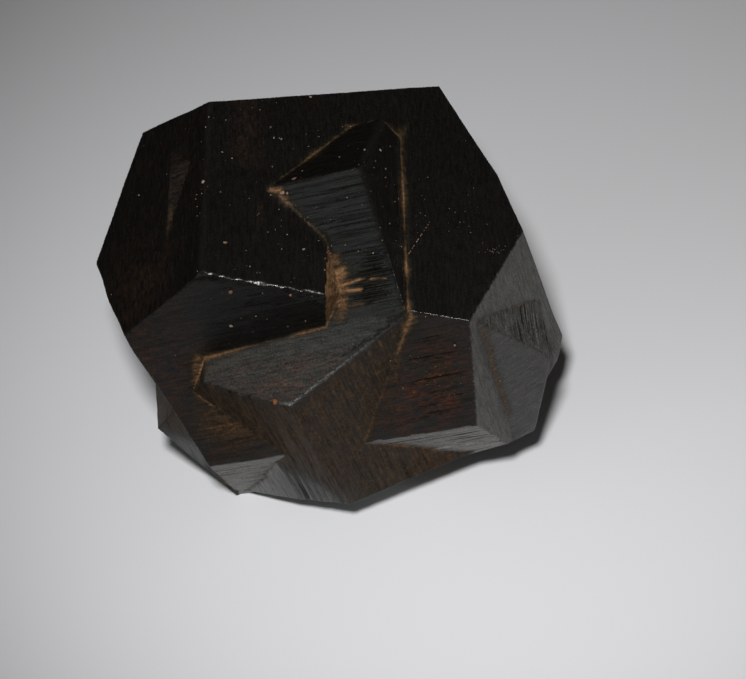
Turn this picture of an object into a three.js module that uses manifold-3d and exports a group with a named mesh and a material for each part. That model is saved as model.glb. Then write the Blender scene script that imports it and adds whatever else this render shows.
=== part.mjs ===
// A dark cluster of two pyritohedra grown through each other (an iron-cross twin), 48 mm across.
// Both crystals share one set of crystal axes a, b, c, in millimetres from their common centre.
// Each is a solid bounded by twelve or thirteen flat growth faces. They are one grown piece.

import * as THREE from 'three';
import { ConvexGeometry } from 'three/addons/geometries/ConvexGeometry.js';
import { mergeVertices } from 'three/addons/utils/BufferGeometryUtils.js';
import Module from 'manifold-3d';

const wasm = await Module();
wasm.setup();

// How the crystal axes stand when the cluster rests: turns about x, y and z, in degrees.
const restingTurn = [17.1, -12.1, 0.5];
// How far the twin centre stands above the surface that the cluster rests on.
const centreHeight = 21.4;
// A block far larger than the cluster, which trims the worn seats under it.
const trimBlockSize = 120;

// Each face: its indices along a, b, c (a pyritohedron's are 2, 1, 0 in turn; a real crystal
// leans a little off them), and its distance from the centre.
const firstCrystal = {
  crestRight: [0.88, -0.02, 2, 14.4],
  crestLeft: [-1.04, 0.04, 2, 20.8],
  brow: [0.04, -2, 0.72, 16.8],
  chin: [-0.03, -2, -0.9, 18.1],
  chinCorner: [0.35, -2, -1.73, 21.2],
  cheekRight: [2, -0.95, -0.05, 20.4],
  sideRightLow: [2, 0.58, 0, 19.9],
  sideRightHigh: [2, 0.9, -0.02, 19.5],
  cheekLeft: [-2, -0.77, -0.15, 20.1],
  sideLeft: [-2, 0.8, -0.03, 20.1],
  backHigh: [-0.03, 2, 0.9, 18.3],
  backLow: [0, 2, -1, 19.2],
  keelRight: [0.97, -0.05, -2, 20.9],
  keelLeft: [-0.95, 0.1, -2, 21.6],
};

const secondCrystal = {
  ridgeBack: [-0.06, 0.81, 2, 15.7],
  ridgeFront: [-0.06, -0.82, 2, 15.2],
  apron: [-0.07, -0.95, 2, 15.85],
  flankRight: [2, -0.01, 0.96, 14.15],
  flankRightLow: [2, 0, -1, 15.6],
  flankLeft: [-2, -0.19, 1.42, 15.8],
  flankLeftLow: [-2, 0.02, -0.93, 19.4],
  prowRight: [0.94, -2, 0.13, 17.6],
  prowLeft: [-0.93, -2, -0.02, 19.6],
  sternRight: [1, 2, 0, 18.4],
  sternLeft: [-1.05, 2, 0.05, 18.6],
  bilgeFront: [0.06, -1.11, -2, 18.7],
  bilgeBack: [0, 0.95, -2, 17.9],
};

// The window where the second crystal's ridge breaks through the first one's crest.
const windowBack = [-0.35, 2, 0.15, 9.3];
const windowCorner = [2, 1.56, 0.45, 15];
const ridgeSinkBehindWindow = 2.4;

// The boss on the right cheek: a third, small crystal in the second one's position.
const boss = {
  top: [2, 0.04, 0.79, 17.25],
  front: [1.53, -2, 0.16, 20.35],
  under: [2, 0.18, -0.91, 20.5],
  bilgeFront: [0.06, -1.11, -2, 18.7],
  innerSide: [-1, 0, 0, -15],
  innerBack: [0, 1, 0, 0],
  innerTop: [0, 0, 1, 7],
};

// The notch beside the second crystal, where the first one's crest edge stopped growing.
const notchWallHigh = [2, -0.06, 1.5, 11.3];
const notchWallLow = [2, -1.52, -0.25, 8.8];
const notchFloorSink = 0.2;

// The small wedge crystal high on the left crest, by its corners.
const wedgeCrystal = [
  [-12.7, 8, 16.7],
  [-10, 4.8, 18.15],
  [-9.7, 4.3, 18.3],
  [-12.2, 5.2, 17.9],
  [-12.9, -4.2, 16.8],
  [-11.6, 2, 15.5],
];

// The facet that cuts the lower left of the prow, and where it ends along c and a.
const prowFacet = [-1.23, -2, -0.02, 19.37];
const prowFacetTop = -2.5;
const prowFacetLeft = -12.3;
const prowFacetRight = -6;
// A distance beyond every part of the cluster, for cutting shapes with an open side.
const farOut = 40;

// Ledges: a face grows out in steps while the face above it draws back.
const chinLedges = { count: 3, grow: 0.2, drawBack: 1.5 };
const ridgeLedges = { count: 5, grow: 0.1, drawBack: 1.6 };
const bossLedges = { count: 2, grow: 0.18, drawBack: 0.7 };

// How far a groove's cutting shape stands above the face, so that it opens at ledges too.
const grooveHeadroom = 0.6;

// Growth grooves: the face and direction that they run in, their width and depth, and each
// one's middle and length.
const alongA = [1, 0, 0];
const alongB = [0, 1, 0];
const alongC = [0, 0, 1];
const browGrooves = {
  face: firstCrystal.brow,
  run: alongA,
  width: 0.4,
  depth: 0.25,
  middles: [[11.5, -15.3, 7, 5.5], [11, -16.3, 4.1, 7], [10.5, -17.3, 1.4, 7.5], [-12.2, -16.8, 3.4, 4]],
};
const prowGrooves = {
  face: secondCrystal.prowLeft,
  run: alongC,
  width: 0.7,
  depth: 0.35,
  middles: [[-6.6, -18.55, -5.5, 7], [-5.2, -19.2, -6, 8], [-4.1, -19.7, -7, 7], [-3, -20.2, -7.6, 5]],
};
const bossGrooves = {
  face: boss.top,
  run: alongB,
  width: 0.45,
  depth: 0.25,
  middles: [[17.9, -10, 1.7, 4.6], [18.9, -8.6, -0.7, 5.4], [19.8, -7.6, -3, 5]],
};

// A pit where the edge over the prow lost a chip.
const edgeChip = [
  [-4.9, -18.2, 8.6],
  [-3.5, -18.6, 8.5],
  [-4.3, -19.6, 8.9],
  [-4.2, -19.2, 7.4],
  [-4.2, -17.9, 9.8],
];

const stoneFinish = { color: 0x241d19, roughness: 0.38, metalness: 0.1 };

function planeOf([a, b, c, distance]) {
  const normal = new THREE.Vector3(a, b, c).normalize();
  return new THREE.Plane(normal, -distance);
}

function meetingPoint(first, second, third) {
  const matrix = new THREE.Matrix3().set(
    ...first.normal.toArray(),
    ...second.normal.toArray(),
    ...third.normal.toArray(),
  );
  if (Math.abs(matrix.determinant()) < 1e-6) {
    return null;
  }
  const distances = new THREE.Vector3(-first.constant, -second.constant, -third.constant);
  return distances.applyMatrix3(matrix.invert());
}

// The corners of the solid that a list of faces bounds: where three meet, inside all others.
function cornersOf(faces) {
  const planes = faces.map(planeOf);
  const corners = [];
  for (let i = 0; i < planes.length; i += 1) {
    for (let j = i + 1; j < planes.length; j += 1) {
      for (let k = j + 1; k < planes.length; k += 1) {
        const point = meetingPoint(planes[i], planes[j], planes[k]);
        if (point && planes.every((plane) => plane.distanceToPoint(point) < 1e-6)) {
          corners.push(point);
        }
      }
    }
  }
  return corners;
}

function toSolid(geometry) {
  geometry.deleteAttribute('normal');
  geometry.deleteAttribute('uv');
  const merged = mergeVertices(geometry, 1e-4);
  const vertProperties = new Float32Array(merged.attributes.position.array);
  const triVerts = new Uint32Array(merged.index.array);
  return new wasm.Manifold(new wasm.Mesh({ numProp: 3, vertProperties, triVerts }));
}

function hullOf(points) {
  return toSolid(new ConvexGeometry(points));
}

function crystalOf(faces) {
  return hullOf(cornersOf(Object.values(faces)));
}

function shifted([a, b, c, distance], by) {
  return [a, b, c, distance + by];
}

function flipped([a, b, c, distance]) {
  return [-a, -b, -c, -distance];
}

function joined(solids) {
  return solids.reduce((whole, solid) => whole.add(solid));
}

// A crystal whose growing face comes forward in steps as its neighbour draws back.
function withLedges(faces, growing, drawing, ledges) {
  const steps = [];
  for (let step = 1; step <= ledges.count; step += 1) {
    steps.push(crystalOf({
      ...faces,
      [growing]: shifted(faces[growing], step * ledges.grow),
      [drawing]: shifted(faces[drawing], -step * ledges.drawBack),
    }));
  }
  return steps;
}

// A shallow boat-shaped groove, which dies out at both ends.
function grooveAt([a, b, c, length], { face, run, width, depth }) {
  const normal = planeOf(face).normal;
  const middle = new THREE.Vector3(a, b, c);
  const along = new THREE.Vector3(...run).projectOnPlane(normal).normalize();
  const across = new THREE.Vector3().crossVectors(normal, along);
  const foot = planeOf(face).projectPoint(middle, new THREE.Vector3());
  const offset = (onRun, onWidth, outward) => foot.clone()
    .addScaledVector(along, onRun)
    .addScaledVector(across, onWidth)
    .addScaledVector(normal, outward);
  return hullOf([
    offset(-length / 2, 0, 0),
    offset(length / 2, 0, 0),
    offset(-length / 2, 0, grooveHeadroom),
    offset(length / 2, 0, grooveHeadroom),
    offset(0, -width / 2, grooveHeadroom),
    offset(0, width / 2, grooveHeadroom),
    offset(0, 0, -depth),
    offset(length / 8, 0, -depth),
  ]);
}

function groovesOf(set) {
  return set.middles.map((middle) => grooveAt(middle, set));
}

// The part of the first crystal in front of the second one's ridge, which is missing.
function notchSolids() {
  const sides = {
    wallHigh: flipped(notchWallHigh),
    wallLow: flipped(notchWallLow),
    flankRight: secondCrystal.flankRight,
    outer: [0, 0, 1, farOut],
    outerFront: [0, -1, 0, farOut],
    behind: [0, 1, 0, 0],
  };
  const floors = [secondCrystal.ridgeFront, secondCrystal.apron];
  return floors.map((floor) => {
    const sunk = shifted(floor, -notchFloorSink);
    return crystalOf({ ...sides, floor: flipped(sunk) });
  });
}

function firstCrystalSolid() {
  const steps = [
    crystalOf(firstCrystal),
    ...withLedges(firstCrystal, 'chin', 'brow', chinLedges),
  ];
  return joined(steps);
}

function secondCrystalSolid() {
  const windowed = { ...secondCrystal, windowBack, windowCorner };
  const behindWindow = {
    ...secondCrystal,
    ridgeBack: shifted(secondCrystal.ridgeBack, -ridgeSinkBehindWindow),
  };
  const crystal = joined([
    crystalOf(windowed),
    ...withLedges(windowed, 'ridgeFront', 'ridgeBack', ridgeLedges),
    crystalOf(behindWindow),
  ]);
  return crystal.subtract(prowFacetSolid());
}

function bossSolid() {
  return joined([
    crystalOf(boss),
    ...withLedges(boss, 'top', 'under', bossLedges),
  ]);
}

// What the prow facet takes off: all that lies beyond it and below its upper limit.
function prowFacetSolid() {
  return crystalOf({
    inner: flipped(prowFacet),
    top: [0, 0, 1, prowFacetTop],
    outerLeft: [-1, 0, 0, -prowFacetLeft],
    outerRight: [1, 0, 0, prowFacetRight],
    outerFront: [0, -1, 0, farOut],
    outerLow: [0, 0, -1, farOut],
  });
}

function restingPose() {
  const [x, y, z] = restingTurn.map(THREE.MathUtils.degToRad);
  return new THREE.Euler(x, y, z, 'XYZ');
}

// The block above the surface that the cluster rests on, in crystal axes.
function spaceAboveSurface() {
  const block = new THREE.BoxGeometry(trimBlockSize, trimBlockSize, trimBlockSize);
  block.translate(0, 0, trimBlockSize / 2 - centreHeight);
  const pose = new THREE.Matrix4().makeRotationFromEuler(restingPose());
  block.applyMatrix4(pose.invert());
  return toSolid(block);
}

function clusterSolid() {
  let first = firstCrystalSolid();
  for (const notch of notchSolids()) {
    first = first.subtract(notch);
  }
  let cluster = joined([
    first,
    secondCrystalSolid(),
    bossSolid(),
    hullOf(wedgeCrystal.map((corner) => new THREE.Vector3(...corner))),
  ]);
  const cuts = [
    hullOf(edgeChip.map((corner) => new THREE.Vector3(...corner))),
    ...groovesOf(browGrooves),
    ...groovesOf(prowGrooves),
    ...groovesOf(bossGrooves),
  ];
  for (const cut of cuts) {
    cluster = cluster.subtract(cut);
  }
  return cluster.intersect(spaceAboveSurface());
}

function toGeometry(solid) {
  const { vertProperties, triVerts } = solid.getMesh();
  const geometry = new THREE.BufferGeometry();
  geometry.setAttribute('position', new THREE.BufferAttribute(new Float32Array(vertProperties), 3));
  geometry.setIndex(new THREE.BufferAttribute(new Uint32Array(triVerts), 1));
  return geometry;
}

function makeCluster() {
  const material = new THREE.MeshStandardMaterial({ ...stoneFinish, flatShading: true });
  const mesh = new THREE.Mesh(toGeometry(clusterSolid()), material);
  mesh.name = 'pyrite_cluster';
  mesh.setRotationFromEuler(restingPose());
  const box = new THREE.Box3().setFromObject(mesh, true);
  const centre = box.getCenter(new THREE.Vector3());
  mesh.position.set(-centre.x, -centre.y, -box.min.z);
  return mesh;
}

const cluster = new THREE.Group();
cluster.add(makeCluster());

export default cluster;
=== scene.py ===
"""The looks of a dark twin of two pyritohedra grown through each other, on a pale floor.

The lengths of the crystals' classes are in millimetres from the twin's centre, along its
crystal axes a, b and c. The finished meshes are in metres, in the frame's own axes.
"""

import logging
import math
from dataclasses import astuple, dataclass, field
from enum import Enum
from itertools import combinations, product
from typing import Any, Callable, Optional, Sequence

import bmesh
import bpy
import numpy as np
from mathutils import Euler, Matrix, Vector


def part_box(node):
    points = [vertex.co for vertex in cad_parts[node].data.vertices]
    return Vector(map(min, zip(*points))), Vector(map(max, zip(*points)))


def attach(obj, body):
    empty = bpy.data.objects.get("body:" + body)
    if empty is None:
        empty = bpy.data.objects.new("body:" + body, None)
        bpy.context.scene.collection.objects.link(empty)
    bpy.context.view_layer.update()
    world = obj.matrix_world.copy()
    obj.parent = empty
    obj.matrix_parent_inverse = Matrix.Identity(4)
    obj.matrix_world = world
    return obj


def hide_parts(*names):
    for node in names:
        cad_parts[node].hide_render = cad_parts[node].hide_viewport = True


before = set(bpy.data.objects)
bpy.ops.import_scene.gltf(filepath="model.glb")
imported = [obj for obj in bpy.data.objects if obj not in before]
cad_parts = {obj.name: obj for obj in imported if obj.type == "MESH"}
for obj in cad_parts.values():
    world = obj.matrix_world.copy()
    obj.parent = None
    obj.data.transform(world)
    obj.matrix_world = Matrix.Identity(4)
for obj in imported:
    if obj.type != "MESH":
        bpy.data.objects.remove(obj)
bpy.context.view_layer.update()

log = logging.getLogger("pyrite_cluster")

MM = 0.001
TINY = 1e-6
NODE = "pyrite_cluster"
BODY = "root"

# How the crystal axes stand as the cluster rests, and where the twin's centre is then.
RESTING_TURN = Euler([math.radians(angle) for angle in (17.1, -12.1, 0.5)], "ZYX")
TWIN_CENTRE = (0.311, -0.667, 21.4)


class Axis(Enum):
    """The crystal axis that a face's growth lines run along."""

    A = (1.0, 0.0, 0.0)
    B = (0.0, 1.0, 0.0)
    C = (0.0, 0.0, 1.0)


def smooth_step(low: float, high: float, values: np.ndarray) -> np.ndarray:
    """Rises smoothly from 0 at low to 1 at high.

    Args:
        low: Where the rise starts.
        high: Where it ends, which may be below low for a fall.
        values: The values to map.

    Returns:
        The mapped values, each from 0 to 1.
    """
    share = np.clip((values - low) / (high - low), 0.0, 1.0)
    return share * share * (3.0 - 2.0 * share)


def blended_least(
    first: np.ndarray, second: np.ndarray, reach: float | np.ndarray
) -> np.ndarray:
    """The lesser of two depths, with a fillet where they meet.

    Args:
        first: Depths over one body.
        second: Depths over the other.
        reach: The fillet's reach, in mm.

    Returns:
        The joined body's depths.
    """
    overlap = np.maximum(reach - np.abs(first - second), 0.0) / reach
    return np.minimum(first, second) - overlap * overlap * reach / 4.0


class LatticeNoise:
    """Smooth random values between -1 and 1 on an endless lattice, the same on each run."""

    SIDE = 64

    def __init__(self, seed: int) -> None:
        """Draws the lattice's values.

        Args:
            seed: The seed of the draw.
        """
        count = (self.SIDE,) * 3
        self.values = np.random.default_rng(seed).random(count, dtype=np.float32) * 2.0 - 1.0

    def at(self, places: np.ndarray) -> np.ndarray:
        """The noise at places given in lattice steps.

        Args:
            places: An array of n by 3 lattice coordinates.

        Returns:
            n values.
        """
        cell = np.floor(places)
        share = (places - cell).astype(np.float32)
        share = share * share * (3.0 - 2.0 * share)
        low = cell.astype(np.int64) % self.SIDE
        high = (low + 1) % self.SIDE
        total = np.zeros(len(places), np.float32)
        for corner in range(8):
            index = []
            weight = np.ones(len(places), np.float32)
            for axis in range(3):
                upper = corner >> axis & 1
                index.append(high[:, axis] if upper else low[:, axis])
                weight = weight * (share[:, axis] if upper else 1.0 - share[:, axis])
            total += weight * self.values[tuple(index)]
        return total


NOISE = LatticeNoise(11)


@dataclass(frozen=True)
class Relief:
    """The growth lines of a face: depth, spacing across them and length along them, in mm."""

    depth: float
    spacing: float
    run: float
    terraces: int = 0

    # A finer, fainter set of lines lies over the main one, moved so that they don't line up.
    FINER = 2.3
    FAINTER = 0.5
    MOVED = 17.0
    # Both sets together reach about this far to either side.
    NOISE_RANGE = 1.2
    RISER = (0.3, 0.7)

    def carve(self, along: np.ndarray, across: np.ndarray, seed: float) -> np.ndarray:
        """How far the lines sink the face.

        Args:
            along: Places along the lines, in mm.
            across: Places across them, in mm.
            seed: A number that tells the face from the others.

        Returns:
            The depth below the face, in mm, from 0 to the relief's depth.
        """
        places = np.stack([along / self.run, across / self.spacing, np.full_like(along, seed)], 1)
        height = NOISE.at(places) + self.FAINTER * NOISE.at(places * self.FINER + self.MOVED)
        height = np.clip(height / self.NOISE_RANGE * 0.5 + 0.5, 0.0, 1.0)
        if self.terraces:
            steps = height * self.terraces
            height = (np.floor(steps) + smooth_step(*self.RISER, steps % 1.0)) / self.terraces
        return self.depth * (1.0 - height)


@dataclass(frozen=True)
class Ledges:
    """A flight of ledges: the face comes forward in steps as its neighbour draws back."""

    neighbour: str
    grow: float
    reach: float
    count: int
    wander: float = 0.05
    seed: int = 1
    softness: float = 0.06
    wander_length: float = 7.0

    # The ledges lie anywhere in the flight's reach and differ in height, higher further back.
    PLACES = (0.02, 1.0)
    HEIGHTS = (0.4, 1.6)
    LEAST_HEIGHT = 0.3

    def rise(self, back: np.ndarray, along: np.ndarray) -> np.ndarray:
        """How far the face has come forward.

        Args:
            back: The distance behind the neighbouring face, in mm.
            along: Places along the ledges, in mm.

        Returns:
            The rise in mm, from 0 to grow.
        """
        draw = np.random.default_rng(self.seed)
        edges = np.sort(draw.uniform(*self.PLACES, self.count))
        shares = draw.uniform(*self.HEIGHTS, self.count) * (self.LEAST_HEIGHT + edges)
        shares = shares / shares.sum()
        nothing = np.zeros_like(back)
        places = np.stack([along / self.wander_length, nothing + self.seed, nothing], 1)
        share = back / self.reach + self.wander * NOISE.at(places)
        soft = self.softness / self.reach
        total = np.zeros_like(back)
        for edge, height in zip(edges, shares):
            total += height * smooth_step(edge - soft, edge + soft, share)
        return self.grow * total


@dataclass(frozen=True)
class Comb:
    """A row of grooves side by side, each dying out at its ends; all in mm."""

    start: tuple
    end: tuple
    count: int
    lengths: tuple
    width: float
    depth: float
    seed: int = 3

    # How far each groove may be off its place, and the spread of its length, width and depth.
    SHIFTS = (-0.3, 0.3)
    LENGTHS = (0.8, 1.15)
    WIDTHS = (0.6, 1.3)
    DEPTHS = (0.5, 1.2)

    def carve(self, points: np.ndarray, run: np.ndarray, across: np.ndarray) -> np.ndarray:
        """How far the grooves sink the face.

        Args:
            points: n by 3 points on or near the face.
            run: The unit vector that the grooves run along.
            across: The unit vector across them in the face.

        Returns:
            The depth below the face, in mm.
        """
        draw = np.random.default_rng(self.seed)
        start, end = np.array(self.start), np.array(self.end)
        total = np.zeros(len(points))
        for number in range(self.count):
            share = (number + draw.uniform(*self.SHIFTS)) / max(self.count - 1, 1)
            middle = start + (end - start) * share
            length = self.lengths[0] + (self.lengths[1] - self.lengths[0]) * share
            length = length * draw.uniform(*self.LENGTHS)
            width = self.width * draw.uniform(*self.WIDTHS)
            depth = self.depth * draw.uniform(*self.DEPTHS)
            on_run = (points - middle) @ run / (length / 2)
            on_width = (points - middle) @ across / (width / 2)
            bowl = np.clip(1.0 - on_run**2, 0.0, 1.0) * np.clip(1.0 - on_width**2, 0.0, 1.0)
            total = np.maximum(total, depth * bowl)
        return total


@dataclass(frozen=True)
class Pocket:
    """A round place with more or less of something than usual, by centre and reach in mm."""

    centre: tuple
    reach: float
    gain: float

    def share(self, points: np.ndarray) -> np.ndarray:
        """The pocket's gain, fading with distance.

        Args:
            points: n by 3 points, in mm.

        Returns:
            n gains.
        """
        away = ((points - np.array(self.centre)) ** 2).sum(axis=1)
        return self.gain * np.exp(-away / self.reach**2)


@dataclass(frozen=True)
class Smear:
    """A streak with more or less of something than usual, by its ends and half width in mm."""

    start: tuple
    end: tuple
    width: float
    gain: float

    def share(self, points: np.ndarray) -> np.ndarray:
        """The smear's gain, fading with distance from its line.

        Args:
            points: n by 3 points, in mm.

        Returns:
            n gains.
        """
        start, run = np.array(self.start), np.array(self.end) - np.array(self.start)
        along = np.clip((points - start) @ run / (run @ run), 0.0, 1.0)
        away = ((points - start - along[:, None] * run) ** 2).sum(axis=1)
        return self.gain * np.exp(-away / self.width**2)


@dataclass(frozen=True)
class Coat:
    """What has settled on a face, from 0 up, how much painted sheen it has (a grey reflection of the pale
    floor painted into its colour), and how far its skin has lost its shine.
    """

    rust: float = 0.08
    film: float = 0.0
    frost: float = 0.0
    dull: float = 0.0


# The sheen in these coats is painted reflection: a grey reflection of the pale floor, painted into the
# colour of faces that look towards it.
BARE = Coat(rust=0.03)
FLECKED = Coat(dull=0.15)
FLOOR_SHEEN = Coat(rust=0.05, frost=1.0)
HALF_FLOOR_SHEEN = Coat(rust=0.1, frost=0.55)
BRIGHT_FLOOR_SHEEN = Coat(frost=2.4)
RUSTY = Coat(rust=0.36, dull=0.35)
OLIVE = Coat(rust=0.25, film=0.2, dull=0.35)
OCHRE = Coat(rust=0.3, film=0.35)
HIDDEN = Coat(rust=0.35, film=0.06, frost=0.1)


@dataclass(frozen=True)
class Face:
    """A growth face: its indices, distance in mm, growth lines, coat and how clear the lines are."""

    indices: tuple
    distance: float
    run: Axis
    relief: Optional[Relief] = None
    ledges: Optional[Ledges] = None
    combs: tuple = ()
    coat: Coat = HIDDEN
    lined: float = 0.35

    @property
    def normal(self) -> np.ndarray:
        """The outward unit normal."""
        return np.array(self.indices) / np.linalg.norm(self.indices)

    @property
    def directions(self) -> tuple:
        """The directions of the growth lines.

        Returns:
            The unit vectors along and across the lines, in the face.
        """
        normal = self.normal
        run = np.array(self.run.value)
        run = run - normal * (run @ normal)
        run = run / np.linalg.norm(run)
        return run, np.cross(normal, run)


FAINT = Relief(0.02, 1.6, 14.0)
SATIN = Relief(0.03, 0.9, 9.0)
COMBED = Relief(0.06, 0.42, 7.0)
LINED = Relief(0.045, 0.8, 9.0, 3)
STEPPED = Relief(0.11, 1.2, 10.0, 4)


@dataclass
class Crystal:
    """A solid bounded by flat growth faces, with worn edges; lengths in mm.

    Relief is worked out only near the surface of the face that carries it, and wear only
    near the solid's surface, which keeps the depth quick to sample.
    """

    RELIEF_REACH = 1.6
    RELIEF_OVERLAP = 0.9
    WEAR_REACH = 1.2
    LEAST_WEAR = 0.015
    CHIP_SIZE = 0.6
    CHIP_SPREAD = 0.3
    WEAR_SIZE = 1.7
    WEAR_SPREAD = 0.55
    GLINT_SPREAD = 0.9
    PATTERN_GAP = 7.3

    faces: dict
    wear: float = 0.05
    seed: float = 0.0
    glints: tuple = ()
    normals: np.ndarray = field(init=False)
    distances: np.ndarray = field(init=False)

    def __post_init__(self) -> None:
        """Gathers the faces' normals and distances."""
        self.normals = np.array([face.normal for face in self.faces.values()])
        self.distances = np.array([face.distance for face in self.faces.values()])

    def heights(self, points: np.ndarray) -> np.ndarray:
        """The height of each point over each face, with the faces' relief.

        Args:
            points: n by 3 points, in mm.

        Returns:
            n by faces heights, in mm, below zero inside.
        """
        heights = points @ self.normals.T - self.distances
        flat = heights.copy()
        top = heights.max(axis=1)
        names = list(self.faces)
        for number, face in enumerate(self.faces.values()):
            if not (face.relief or face.ledges or face.combs):
                continue
            near = flat[:, number] > top - self.RELIEF_OVERLAP
            near = near & (np.abs(flat[:, number]) < self.RELIEF_REACH)
            if not near.any():
                continue
            place = points[near]
            run, across = face.directions
            along = place @ run
            change = np.zeros(len(place))
            if face.relief:
                pattern = self.seed + number * self.PATTERN_GAP
                change += face.relief.carve(along, place @ across, pattern)
            for comb in face.combs:
                change += comb.carve(place, run, across)
            if face.ledges:
                back = -flat[near, names.index(face.ledges.neighbour)]
                change -= face.ledges.rise(back, along)
            heights[near, number] += change
        return heights

    def depth(self, points: np.ndarray) -> np.ndarray:
        """The height over the whole solid, with its edges rounded by wear.

        Args:
            points: n by 3 points, in mm.

        Returns:
            n heights in mm, below zero inside.
        """
        heights = self.heights(points)
        top = heights.max(axis=1)
        result = top.copy()
        near = np.abs(top) < self.WEAR_REACH
        place = points[near]
        chipped = NOISE.at(place / self.CHIP_SIZE)
        uneven = 1.0 + self.WEAR_SPREAD * NOISE.at(place / self.WEAR_SIZE)
        worn = self.wear * (uneven + self.CHIP_SPREAD * chipped)
        for glint in self.glints:
            worn = worn + glint.share(place) * (1.0 + self.GLINT_SPREAD * chipped)
        worn = np.maximum(worn, self.LEAST_WEAR)[:, None]
        excess = np.exp((heights[near] - top[near, None]) / worn).sum(axis=1)
        result[near] += worn[:, 0] * np.log(excess)
        return result


@dataclass
class JoinedSolid:
    """Solids joined with no fillet, less the solids that cut them."""

    parts: list
    cuts: list = field(default_factory=list)

    def depth(self, points: np.ndarray) -> np.ndarray:
        """The height over the solid.

        Args:
            points: n by 3 points, in mm.

        Returns:
            n heights in mm, below zero inside.
        """
        depth = self.parts[0].depth(points)
        for part in self.parts[1:]:
            depth = np.minimum(depth, part.depth(points))
        for cut in self.cuts:
            depth = np.maximum(depth, -cut.depth(points))
        return depth


def face_between(first: Sequence, second: Sequence, third: Sequence) -> tuple:
    """The plane through three corners.

    Args:
        first: A corner, in mm.
        second: Another corner.
        third: Another corner.

    Returns:
        Its unit normal and its distance from the centre.
    """
    corner = np.array(first)
    normal = np.cross(np.array(second) - corner, np.array(third) - corner)
    normal = normal / max(np.linalg.norm(normal), TINY)
    return normal, float(normal @ corner)


def crystal_between(corners: Sequence, run: Axis, wear: float) -> Crystal:
    """The small solid whose corners are given.

    Args:
        corners: Its corners, in mm.
        run: The axis that its growth lines run along.
        wear: How round its edges are, in mm.

    Returns:
        The solid.
    """
    faces = {}
    points = np.array(corners)
    for number, chosen in enumerate(combinations(corners, 3)):
        normal, distance = face_between(*chosen)
        heights = points @ normal - distance
        if heights.min() > -TINY:
            normal, distance, heights = -normal, -distance, -heights
        if heights.max() < TINY and heights.min() < -TINY:
            coat = Coat(0.3, 0.03, 0.1)
            faces[f"side_{number}"] = Face(tuple(normal), distance, run, COMBED, coat=coat, lined=1.0)
    return Crystal(faces, wear)


@dataclass
class FirstCrystal:
    """The upper crystal, whose crest, brow and cheeks face the light."""

    def faces(self) -> dict:
        """Gives its growth faces.

        Returns:
            The faces by name.
        """
        return {
            "crest_right": Face((0.88, -0.02, 2), 14.4, Axis.B, FAINT, coat=BARE),
            "crest_left": Face((-1.04, 0.04, 2), 20.8, Axis.B, FAINT, coat=FLECKED),
            "brow": Face(
                (0.04, -2, 0.72), 16.8, Axis.A, LINED, combs=self.brow_combs(), coat=RUSTY
            ),
            "chin": Face(
                (-0.03, -2, -0.9), 18.1, Axis.A, COMBED, self.chin_ledges(), coat=BRIGHT_FLOOR_SHEEN, lined=1.0
            ),
            "chin_corner": Face((0.35, -2, -1.73), 21.2, Axis.A, SATIN, coat=Coat(0.3, 0.3)),
            "cheek_right": Face((2, -0.95, -0.05), 20.4, Axis.C, SATIN, coat=FLOOR_SHEEN, lined=0.2),
            "side_right_low": Face((2, 0.58, 0), 19.9, Axis.C, LINED),
            "side_right_high": Face((2, 0.9, -0.02), 19.5, Axis.C, SATIN),
            "cheek_left": Face(
                (-2, -0.77, -0.15), 20.1, Axis.C, LINED, coat=Coat(0.15, 0.0, 1.0), lined=0.6
            ),
            "side_left": Face((-2, 0.8, -0.03), 20.1, Axis.C, STEPPED),
            "back_high": Face((-0.03, 2, 0.9), 18.3, Axis.A, LINED),
            "back_low": Face((0, 2, -1), 19.2, Axis.A, STEPPED),
            "keel_right": Face((0.97, -0.05, -2), 20.9, Axis.B, SATIN),
            "keel_left": Face((-0.95, 0.1, -2), 21.6, Axis.B, LINED),
        }

    def brow_combs(self) -> tuple:
        """The longer growth grooves across the brow.

        Returns:
            Its rows of grooves.
        """
        right = Comb((11.5, -15.0, 7.8), (10.8, -17.9, -0.6), 12, (5.0, 7.5), 0.5, 0.10, 5)
        left = Comb((-12.6, -14.6, 10.0), (-9.5, -18.0, 0.4), 9, (4.0, 7.0), 0.6, 0.08, 6)
        return right, left

    def chin_ledges(self) -> Ledges:
        """The flight of ledges where the brow drew back over the chin."""
        return Ledges("brow", 0.6, 4.5, 8, 0.03, 4)

    def build(self) -> Crystal:
        """Builds it.

        Returns:
            The crystal.
        """
        glints = (
            Smear((-8.9, -11.1, 19.3), (2.4, -12.7, 14.1), 0.7, 0.19),
            Smear((-11.6, -11.5, 18.2), (-9.7, -11.2, 18.9), 0.5, 0.1),
            Smear((10.3, -13.9, 10.3), (15.6, -14.7, 7.9), 0.6, 0.05),
        )
        return Crystal(self.faces(), wear=0.02, seed=1.0, glints=glints)


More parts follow.
